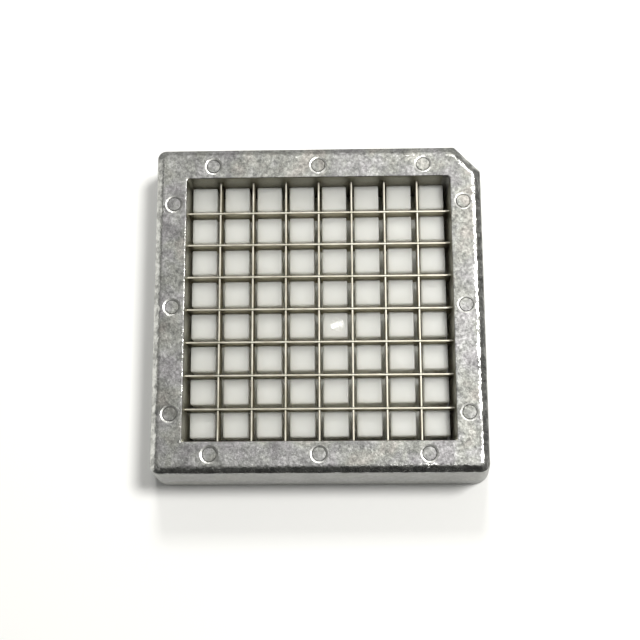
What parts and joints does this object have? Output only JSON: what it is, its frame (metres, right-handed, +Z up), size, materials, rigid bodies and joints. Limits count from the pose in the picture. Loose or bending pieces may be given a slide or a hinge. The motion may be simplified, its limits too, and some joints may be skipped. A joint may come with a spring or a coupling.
{
  "type": "vegetable dicer head",
  "caption": "Square die-cast blade frame with a crossed knife grid for small dice, nested over a white pegged pusher block.",
  "frame": {"origin": "centre of the head on the surface it stands on", "axes": "+Z up out of the exit side of the knife grid, +X along the knives whose spines run unbroken, the cut corner at +X +Y"},
  "size_m": [0.106, 0.106, 0.024],
  "materials": {
    "cast_aluminium": "as cast, tumbled, mottled satin",
    "knife_steel": "fine ground stainless, slightly warm",
    "white_plastic": "moulded natural white, satin, slightly translucent",
    "brass": "turned"
  },
  "bodies": {
    "pusher": {"pusher_block": "white_plastic", "threaded_insert_1": "brass", "threaded_insert_2": "brass", "threaded_insert_3": "brass", "threaded_insert_4": "brass"},
    "blade_set": {"blade_frame": "cast_aluminium", "cross_knife_1": "knife_steel", "cross_knife_2": "knife_steel", "cross_knife_3": "knife_steel", "cross_knife_4": "knife_steel", "cross_knife_5": "knife_steel", "cross_knife_6": "knife_steel", "cross_knife_7": "knife_steel", "long_knife_1": "knife_steel", "long_knife_2": "knife_steel", "long_knife_3": "knife_steel", "long_knife_4": "knife_steel", "long_knife_5": "knife_steel", "long_knife_6": "knife_steel", "long_knife_7": "knife_steel"}
  },
  "joints": [
    {"name": "press_stroke", "type": "slide", "parent": "pusher", "child": "blade_set", "axis": [0, 0, 1], "range_m": [0, 0.03]}
  ]
}
